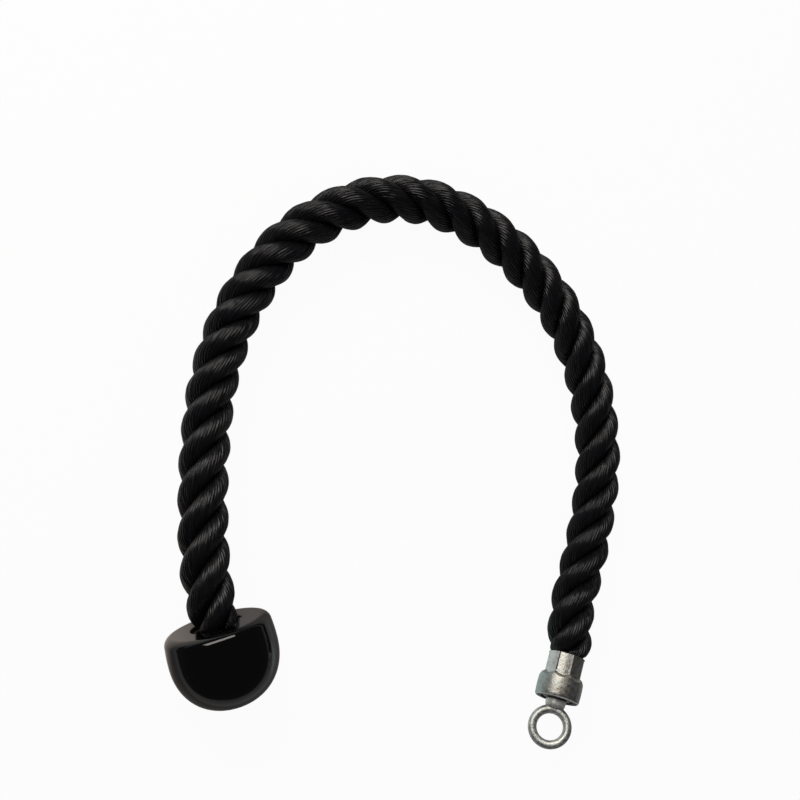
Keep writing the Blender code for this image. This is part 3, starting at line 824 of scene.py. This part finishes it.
def shank_profile():
    """The shank and the waisted neck, up into the ring's foot."""
    foot = DISC_BOSS_HEIGHT - DISC_FRONT + RUNNING_GAP
    profile = [
        (0, -SHANK_END),
        (SHANK_RADIUS - SHANK_CHAMFER, -SHANK_END),
        (SHANK_RADIUS, SHANK_CHAMFER - SHANK_END),
        (SHANK_RADIUS, foot),
        (NECK_RADIUS - NECK_CHAMFER, foot),
        (NECK_RADIUS, foot + NECK_CHAMFER),
        (NECK_RADIUS, NECK_LENGTH * NECK_STRAIGHT_TO),
        (NECK_WAIST, NECK_LENGTH * NECK_WAIST_FROM),
    ]
    return profile + [(NECK_WAIST - inset, NECK_LENGTH + rise) for inset, rise in NECK_CROWN]


def eye_tone(radius, height, angle):
    """The eye's zinc is a shade cooler all over."""
    return TONE_OF_EYE


def eye_painted_shade(radius, height, angle):
    """Painted shade round the neck's foot, and where the ring grows out of the neck."""
    under_ring = line_share(height - NECK_LENGTH - RING_CREASE_AT)
    if radius <= NECK_WAIST * RING_CREASE_FROM:
        under_ring = 0
    return SHADE_AT_NECK_FOOT * line_share(max(height, 0)) + SHADE_UNDER_RING * under_ring


def eye_wear_and_painted_light(radius, height, angle):
    """Painted light on the neck, and a little even wear all over the eye."""
    on_neck = float(ease((NECK_LENGTH + NECK_LIGHT_RUN - height) / NECK_LIGHT_RUN))
    return WEAR_ON_RING + LIGHT_ON_NECK * on_neck


def make_eye(seat, material):
    """The forged eye: shank, neck and ring melted into one body with a remesh, then smoothed."""
    ring_radius = RING_HOLE_RADIUS + RING_WIRE_RADIUS
    eye = turned("forged_eye", shank_profile(), EYE_SIDES)
    deselect_all()
    bpy.ops.mesh.primitive_torus_add(
        major_radius=ring_radius,
        minor_radius=RING_WIRE_RADIUS + MELT_ALLOWANCE,
        major_segments=RING_SIDES[0],
        minor_segments=RING_SIDES[1],
        location=(0, 0, NECK_LENGTH + ring_radius + RING_WIRE_RADIUS),
        rotation=(0, math.pi / 2, 0),
    )
    ring = bpy.context.object
    bpy.ops.object.transform_apply(location=True, rotation=True)
    cut_or_join(eye, ring, "UNION")
    remesh = eye.modifiers.new("melt", "REMESH")
    remesh.mode = "VOXEL"
    remesh.voxel_size = MELT_VOXEL
    remesh.use_smooth_shade = True
    smooth = eye.modifiers.new("smooth", "SMOOTH")
    smooth.factor = 0.5
    smooth.iterations = MELT_SMOOTHINGS
    apply_modifiers(eye)
    # Wear and painted light, even tone, and painted shade
    mark(eye, "wear_and_painted_light", eye_wear_and_painted_light)
    mark(eye, "tone_and_cool_light", eye_tone)
    mark(eye, "painted_shade", eye_painted_shade)
    shade(eye, angle=60)
    return place(eye, seat, material)


def set_values(node, **values):
    """Sets values on a node's sockets, whose names are given with _ for a space."""
    for name, value in values.items():
        node.inputs[name.replace("_", " ")].default_value = value
    return node


def add_node(nodes, kind, **values):
    """A new shader node, with values on its sockets."""
    return set_values(nodes.new("ShaderNode" + kind), **values)


def add_group(nodes, group, **values):
    """A shared group placed in a material, with values on its sockets."""
    node = nodes.new("ShaderNodeGroup")
    node.node_tree = group
    return set_values(node, **values)


def add_mix(nodes, blend="MIX", **values):
    """A mix of two colours."""
    node = nodes.new("ShaderNodeMix")
    node.data_type = "RGBA"
    node.blend_type = blend
    return set_values(node, **values)


def add_math(nodes, operation, clamp=False):
    """A calculation with two numbers."""
    node = nodes.new("ShaderNodeMath")
    node.operation = operation
    node.use_clamp = clamp
    return node


def add_attribute(nodes, name):
    """The value that mark() gave to each point of a piece."""
    node = nodes.new("ShaderNodeAttribute")
    node.attribute_name = name
    return node


def add_ramp(nodes, stops):
    """A colour ramp through stops of (position, colour)."""
    ramp = nodes.new("ShaderNodeValToRGB")
    while len(ramp.color_ramp.elements) < len(stops):
        ramp.color_ramp.elements.new(0.5)
    for element, (position, colour) in zip(ramp.color_ramp.elements, stops):
        element.position = position
        element.color = (*colour, 1)
    return ramp


def wire(links, *wires):
    """Links nodes. Each wire is given as a node, its output, the next node and its input."""
    for source, output, target, socket in wires:
        links.new(source.outputs[output], target.inputs[socket])


def new_material(name):
    """A material with nodes, its nodes, its links and its Principled shader."""
    material = bpy.data.materials.new(name)
    material.use_nodes = True
    nodes = material.node_tree.nodes
    return material, nodes, material.node_tree.links, nodes["Principled BSDF"]


def new_group(name, values, results):
    """A group that takes a vector and named values, and puts out the named results."""
    group = bpy.data.node_groups.new(name, "ShaderNodeTree")
    add_socket = group.interface.new_socket
    add_socket(name="Vector", in_out="INPUT", socket_type="NodeSocketVector")
    for label, value in values.items():
        socket = add_socket(name=label, in_out="INPUT", socket_type="NodeSocketFloat")
        socket.default_value = value
    for label in results:
        add_socket(name=label, in_out="OUTPUT", socket_type="NodeSocketFloat")
    entry = group.nodes.new("NodeGroupInput")
    leave = group.nodes.new("NodeGroupOutput")
    return group, entry, leave


def mottle_group():
    """Cloudy patches at two scales, the finer ones called grain, both from 0 to 1."""
    usual = {"Patch Scale": 300.0, "Grain Scale": 3000.0}
    group, entry, leave = new_group("Mottle", usual, ("Patches", "Grain"))
    for scale, result, detail in (("Patch Scale", "Patches", 4), ("Grain Scale", "Grain", 3)):
        noise = add_node(group.nodes, "TexNoise", Detail=detail, Roughness=0.6)
        spread = add_node(group.nodes, "MapRange", From_Min=0.35, From_Max=0.65)
        wire(
            group.links,
            (entry, "Vector", noise, "Vector"),
            (entry, scale, noise, "Scale"),
            (noise, "Fac", spread, "Value"),
            (spread, "Result", leave, result),
        )
    return group


def streaks_group():
    """A chance value for each yarn, changing slowly along it, and fibres drawn out along it.

    The vector's X is a share of a turn round the strand, and its Y the distance along it.
    """
    usual = {"Yarns": 20.0, "Fibres": 6.0, "Fibre Length": 0.01}
    group, entry, leave = new_group("Yarn Streaks", usual, ("Yarn Chance", "Fibre"))
    nodes, links = group.nodes, group.links
    between_yarns = 7.31
    chance_along_fibre = 0.6

    def calculated(operation, first, second=None):
        """The result of a calculation with outputs or plain numbers."""
        node = add_math(nodes, operation)
        for socket, value in zip(node.inputs, (first, second)):
            if isinstance(value, float):
                socket.default_value = value
            elif value is not None:
                links.new(value, socket)
        return node.outputs["Value"]

    def noise_at(across, along, detail, result):
        """Puts out noise, stretched to the whole range from 0 to 1, as one of the results."""
        joined = nodes.new("ShaderNodeCombineXYZ")
        noise = add_node(nodes, "TexNoise", Scale=1.0, Detail=detail)
        spread = add_node(nodes, "MapRange", From_Min=0.3, From_Max=0.7)
        links.new(across, joined.inputs["X"])
        links.new(along, joined.inputs["Y"])
        wire(
            links,
            (joined, "Vector", noise, "Vector"),
            (noise, "Fac", spread, "Value"),
            (spread, "Result", leave, result),
        )

    split = nodes.new("ShaderNodeSeparateXYZ")
    wire(links, (entry, "Vector", split, "Vector"))
    across = calculated("MULTIPLY", split.outputs["X"], entry.outputs["Yarns"])
    along = calculated("DIVIDE", split.outputs["Y"], entry.outputs["Fibre Length"])
    yarn = calculated("MULTIPLY", calculated("FLOOR", across), between_yarns)
    noise_at(yarn, calculated("MULTIPLY", along, chance_along_fibre), 1.0, "Yarn Chance")
    noise_at(calculated("MULTIPLY", across, entry.outputs["Fibres"]), along, 2.0, "Fibre")
    return group


def rope_material(streaks):
    """Black synthetic yarn: each yarn has its own gloss, and fibres run along it in its UV map."""
    material, nodes, links, shader = new_material("rope_yarn")
    set_values(shader, IOR=1.40, Anisotropic=0.7)
    across = nodes.new("ShaderNodeTangent")
    across.direction_type = "UV_MAP"
    across.uv_map = YARN_MAP
    uv = nodes.new("ShaderNodeUVMap")
    uv.uv_map = YARN_MAP
    yarn = add_group(nodes, streaks, Yarns=float(YARNS), Fibres=1.8, Fibre_Length=0.0065)
    colour = add_ramp(nodes, [(0.25, YARN_DARK), (0.85, YARN_LIGHT)])
    gloss = add_node(nodes, "MapRange", To_Min=YARN_GLOSS[0], To_Max=YARN_GLOSS[1])
    sway = add_node(nodes, "Bump", Strength=0.7, Distance=0.0007)
    fibres = add_node(nodes, "Bump", Strength=0.6, Distance=0.0003)
    wire(
        links,
        (across, "Tangent", shader, "Tangent"),
        (uv, "UV", yarn, "Vector"),
        (yarn, "Fibre", colour, "Fac"),
        (colour, "Color", shader, "Base Color"),
        (yarn, "Yarn Chance", gloss, "Value"),
        (gloss, "Result", shader, "Roughness"),
        (yarn, "Yarn Chance", sway, "Height"),
        (sway, "Normal", fibres, "Normal"),
        (yarn, "Fibre", fibres, "Height"),
        (fibres, "Normal", shader, "Normal"),
    )
    return material


def plastic_material(name, mottle, colour, roughness, grain_depth):
    """Moulded black plastic with faint smears in its gloss and a very fine ripple."""
    material, nodes, links, shader = new_material(name)
    set_values(shader, Base_Color=(*colour, 1), IOR=1.48)
    coordinates = nodes.new("ShaderNodeTexCoord")
    clouds = add_group(nodes, mottle, Patch_Scale=90.0, Grain_Scale=1400.0)
    least, most = (roughness * share for share in SMEARS)
    gloss = add_node(nodes, "MapRange", To_Min=least, To_Max=most)
    ripple = add_node(nodes, "Bump", Strength=0.15, Distance=grain_depth)
    wire(
        links,
        (coordinates, "Object", clouds, "Vector"),
        (clouds, "Patches", gloss, "Value"),
        (gloss, "Result", shader, "Roughness"),
        (clouds, "Grain", ripple, "Height"),
        (ripple, "Normal", shader, "Normal"),
    )
    return material


def zinc_material(mottle):
    """Zinc plated steel with an orange-peel skin, whose tint drifts from warm to cool.

    Marks on its points make it cooler, as an even tone and as painted cool light on one side; make
    it bright and less metallic in flecks, as painted light, painted highlights and a little even
    wear; and darken it as painted shade.
    """
    material, nodes, links, shader = new_material("zinc_plate")
    coordinates = nodes.new("ShaderNodeTexCoord")
    clouds = add_group(nodes, mottle, Patch_Scale=75.0, Grain_Scale=520.0)
    peel = add_group(nodes, mottle, Patch_Scale=1300.0, Grain_Scale=4200.0)
    tone_and_cool_light, wear_and_painted_light, painted_shade = (add_attribute(nodes, mark_name) for mark_name in ("tone_and_cool_light", "wear_and_painted_light", "painted_shade"))
    drift = add_node(nodes, "MapRange", To_Min=0.10, To_Max=0.75)
    # Even tone and painted cool light shift the tint
    drifted = add_math(nodes, "ADD", clamp=True)
    tint = add_ramp(nodes, [(0.0, ZINC_WARM), (1.0, ZINC_COOL)])
    flecks = add_node(nodes, "MapRange", To_Min=0.45, To_Max=1.10)
    # Painted light and highlights, and wear, in flecks
    rubbed_and_lit = add_math(nodes, "MULTIPLY", clamp=True)
    metal = add_node(nodes, "MapRange", To_Min=1.0, To_Max=0.5)
    worn_and_lit = add_mix(nodes, B=(*ZINC_RUBBED_AND_LIT, 1))
    blotches = add_node(nodes, "MapRange", To_Min=0.80)
    dulled = add_mix(nodes, "MULTIPLY", Factor=1.0)
    # Painted shade
    shaded = add_mix(nodes, B=(*PAINTED_SHADE_DARK, 1))
    gloss = add_node(nodes, "MapRange", To_Min=ZINC_SATIN[0], To_Max=ZINC_SATIN[1])
    dents = add_node(nodes, "Bump", Strength=0.20, Distance=0.00025)
    skin = add_node(nodes, "Bump", Strength=0.30, Distance=0.00015)
    wire(
        links,
        (coordinates, "Object", clouds, "Vector"),
        (coordinates, "Object", peel, "Vector"),
        (clouds, "Grain", drift, "Value"),
        (drift, "Result", drifted, 0),
        (tone_and_cool_light, "Fac", drifted, 1),
        (drifted, "Value", tint, "Fac"),
        (clouds, "Grain", flecks, "Value"),
        (wear_and_painted_light, "Fac", rubbed_and_lit, 0),
        (flecks, "Result", rubbed_and_lit, 1),
        (rubbed_and_lit, "Value", metal, "Value"),
        (metal, "Result", shader, "Metallic"),
        (rubbed_and_lit, "Value", worn_and_lit, "Factor"),
        (tint, "Color", worn_and_lit, "A"),
        (clouds, "Patches", blotches, "Value"),
        (worn_and_lit, "Result", dulled, "A"),
        (blotches, "Result", dulled, "B"),
        (painted_shade, "Fac", shaded, "Factor"),
        (dulled, "Result", shaded, "A"),
        (shaded, "Result", shader, "Base Color"),
        (clouds, "Grain", gloss, "Value"),
        (gloss, "Result", shader, "Roughness"),
        (clouds, "Grain", dents, "Height"),
        (dents, "Normal", skin, "Normal"),
        (peel, "Patches", skin, "Height"),
        (skin, "Normal", shader, "Normal"),
    )
    return material


def mirrored_table(nodes, links):
    """What gloss shows of the table: grey up to an edge in x, with pools of light and shade."""
    coordinates = nodes.new("ShaderNodeTexCoord")
    split = nodes.new("ShaderNodeSeparateXYZ")
    edge = add_node(
        nodes, "MapRange", From_Min=TABLE_EDGE - TABLE_EDGE_FADE, From_Max=TABLE_EDGE
    )
    grey = add_mix(nodes, A=(*TABLE_BEYOND_EDGE, 1), B=(*TABLE_GREY, 1))
    wire(
        links,
        (coordinates, "Object", split, "Vector"),
        (split, "X", edge, "Value"),
        (edge, "Result", grey, "Factor"),
    )
    for middle, radius, fade, colour in TABLE_POOLS:
        away = nodes.new("ShaderNodeVectorMath")
        away.operation = "DISTANCE"
        away.inputs[1].default_value = middle
        share = nodes.new("ShaderNodeMapRange")
        share.interpolation_type = "SMOOTHSTEP"
        set_values(share, From_Min=radius, From_Max=radius + fade, To_Min=1.0, To_Max=0.0)
        pool = add_mix(nodes, B=(*colour, 1))
        wire(
            links,
            (coordinates, "Object", away, 0),
            (away, "Value", share, "Value"),
            (share, "Result", pool, "Factor"),
            (grey, "Result", pool, "A"),
        )
        grey = pool
    surface = nodes.new("ShaderNodeBsdfDiffuse")
    wire(links, (grey, "Result", surface, "Color"))
    return surface


def table_material():
    """A table that is white to the camera but for a faint shadow, and lit grey in gloss."""
    material, nodes, links, shader = new_material("white_table")
    set_values(shader, Base_Color=(*TABLE_WHITE, 1), Roughness=0.8, Specular_IOR_Level=0.1)
    paths = nodes.new("ShaderNodeLightPath")
    white = nodes.new("ShaderNodeEmission")
    mirrored = mirrored_table(nodes, links)
    in_gloss = add_math(nodes, "MAXIMUM")
    seen = add_math(nodes, "MULTIPLY")
    seen.inputs[1].default_value = TABLE_SHARE_SEEN
    lit = nodes.new("ShaderNodeMixShader")
    shown = nodes.new("ShaderNodeMixShader")
    wire(
        links,
        (paths, "Is Glossy Ray", in_gloss, 0),
        (paths, "Is Transmission Ray", in_gloss, 1),
        (in_gloss, "Value", lit, "Fac"),
        (shader, "BSDF", lit, 1),
        (mirrored, "BSDF", lit, 2),
        (paths, "Is Camera Ray", seen, 0),
        (seen, "Value", shown, "Fac"),
        (lit, "Shader", shown, 1),
        (white, "Emission", shown, 2),
        (shown, "Shader", nodes["Material Output"], "Surface"),
    )
    return material


def make_world():
    """A room that lights the table softly, stays dim in the gloss, and is white to the camera."""
    world = bpy.data.worlds.new("studio")
    bpy.context.scene.world = world
    world.use_nodes = True
    nodes, links = world.node_tree.nodes, world.node_tree.links
    paths = nodes.new("ShaderNodeLightPath")
    dim = set_values(nodes["Background"], Color=(*ROOM_IN_GLOSS, 1))
    soft = add_node(nodes, "Background", Color=(*ROOM_LIGHT, 1))
    white = add_node(nodes, "Background", Color=(*ROOM_SEEN, 1))
    room = nodes.new("ShaderNodeMixShader")
    shown = nodes.new("ShaderNodeMixShader")
    wire(
        links,
        (paths, "Is Diffuse Ray", room, "Fac"),
        (dim, "Background", room, 1),
        (soft, "Background", room, 2),
        (paths, "Is Camera Ray", shown, "Fac"),
        (room, "Shader", shown, 1),
        (white, "Background", shown, 2),
        (shown, "Shader", nodes["World Output"], "Surface"),
    )


def make_table():
    """The table under the object, which isn't part of it."""
    deselect_all()
    bpy.ops.mesh.primitive_plane_add(size=TABLE_SIZE, location=TABLE_MIDDLE)
    table = bpy.context.object
    bpy.ops.object.transform_apply(location=True)
    table.name = "table"
    table.data.materials.append(table_material())


def make_lamp():
    """One wide soft lamp beyond the top of the arch, a little warm."""
    data = bpy.data.lights.new("key", "AREA")
    data.shape = "RECTANGLE"
    data.size, data.size_y = LAMP_SIZE
    data.energy = LAMP_POWER
    data.color = LAMP_COLOUR
    lamp = bpy.data.objects.new("key", data)
    bpy.context.scene.collection.objects.link(lamp)
    way = Vector(LAMP_AIM) - Vector(LAMP_PLACE)
    lamp.location = LAMP_PLACE
    lamp.rotation_euler = way.to_track_quat("-Z", "Y").to_euler()


def make_camera():
    """The photograph's camera: square to the table but leaning to the left."""
    data = bpy.data.cameras.new("photo_camera")
    data.sensor_width = CAMERA_SENSOR
    data.lens = CAMERA_LENS
    camera = bpy.data.objects.new("photo_camera", data)
    bpy.context.scene.collection.objects.link(camera)
    right = Vector((math.cos(CAMERA_LEAN), 0, math.sin(CAMERA_LEAN)))
    up = Vector((0, 1, 0))
    back = Vector((-math.sin(CAMERA_LEAN), 0, math.cos(CAMERA_LEAN)))
    turned_to = Matrix((right, up, back)).transposed().to_4x4()
    place_at = Vector(CAMERA_TARGET) + back * CAMERA_DISTANCE
    camera.matrix_world = Matrix.Translation(place_at) @ turned_to
    bpy.context.scene.camera = camera


def main():
    """Makes the stage, the strands and the fittings, attaches each piece to its body and hides the
    CAD node it replaces.
    """
    make_camera()
    make_world()
    make_table()
    make_lamp()
    mottle = mottle_group()
    yarn = rope_material(streaks_group())
    gloss = plastic_material("glossy_cap", mottle, CAP_BLACK, CAP_GLOSS, grain_depth=0.00003)
    satin = plastic_material("satin_collar", mottle, COLLAR_BLACK, COLLAR_SATIN, grain_depth=0.0001)
    zinc = zinc_material(mottle)

    cap_way = way_of(CAP_HEADING)
    ferrule_way = way_of(FERRULE_HEADING, FERRULE_RISE)
    line = smooth_line(route_points(), -cap_way, ferrule_way, ROUTE_STEPS)
    free_length = float(np.linalg.norm(np.diff(line, axis=0), axis=1).sum())
    stations = rope_stations(line, -cap_way, ferrule_way, STATION_STEP)
    strands = [make_strand(number, stations, free_length, yarn) for number in range(STRANDS)]
    for number, strand in enumerate(strands):
        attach(strand, "rope_body")
        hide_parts(f"rope_strand_{number + 1}")

    cap_seat = seat_of(line[0], cap_way)
    ferrule_seat = seat_of(line[-1], ferrule_way)
    eye_seat = seat_of(line[-1] + ferrule_way * FERRULE_LENGTH, ferrule_way, EYE_ROLL)
    made = [
        (make_cap(cap_seat, gloss), "rope_body", "end_cap", "cap"),
        (make_collar(cap_seat, satin), "rope_body", "cap_collar", "collar"),
        (make_ferrule(ferrule_seat, zinc), "rope_body", "ferrule", "zinc_steel"),
        (make_disc(ferrule_seat, zinc), "rope_body", "swivel_disc", "zinc_steel"),
        (make_eye(eye_seat, zinc), "eye_body", "eye", "zinc_steel"),
    ]
    for piece, body, node, slot in made:
        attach(piece, body)
        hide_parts(node)
    for node in ("anchor_ring", "thrust_washer", "lock_nut"):
        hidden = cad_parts[node]
        for index in range(len(hidden.material_slots)):
            hidden.material_slots[index].material = zinc
    bpy.context.scene.view_settings.view_transform = "Standard"


main()
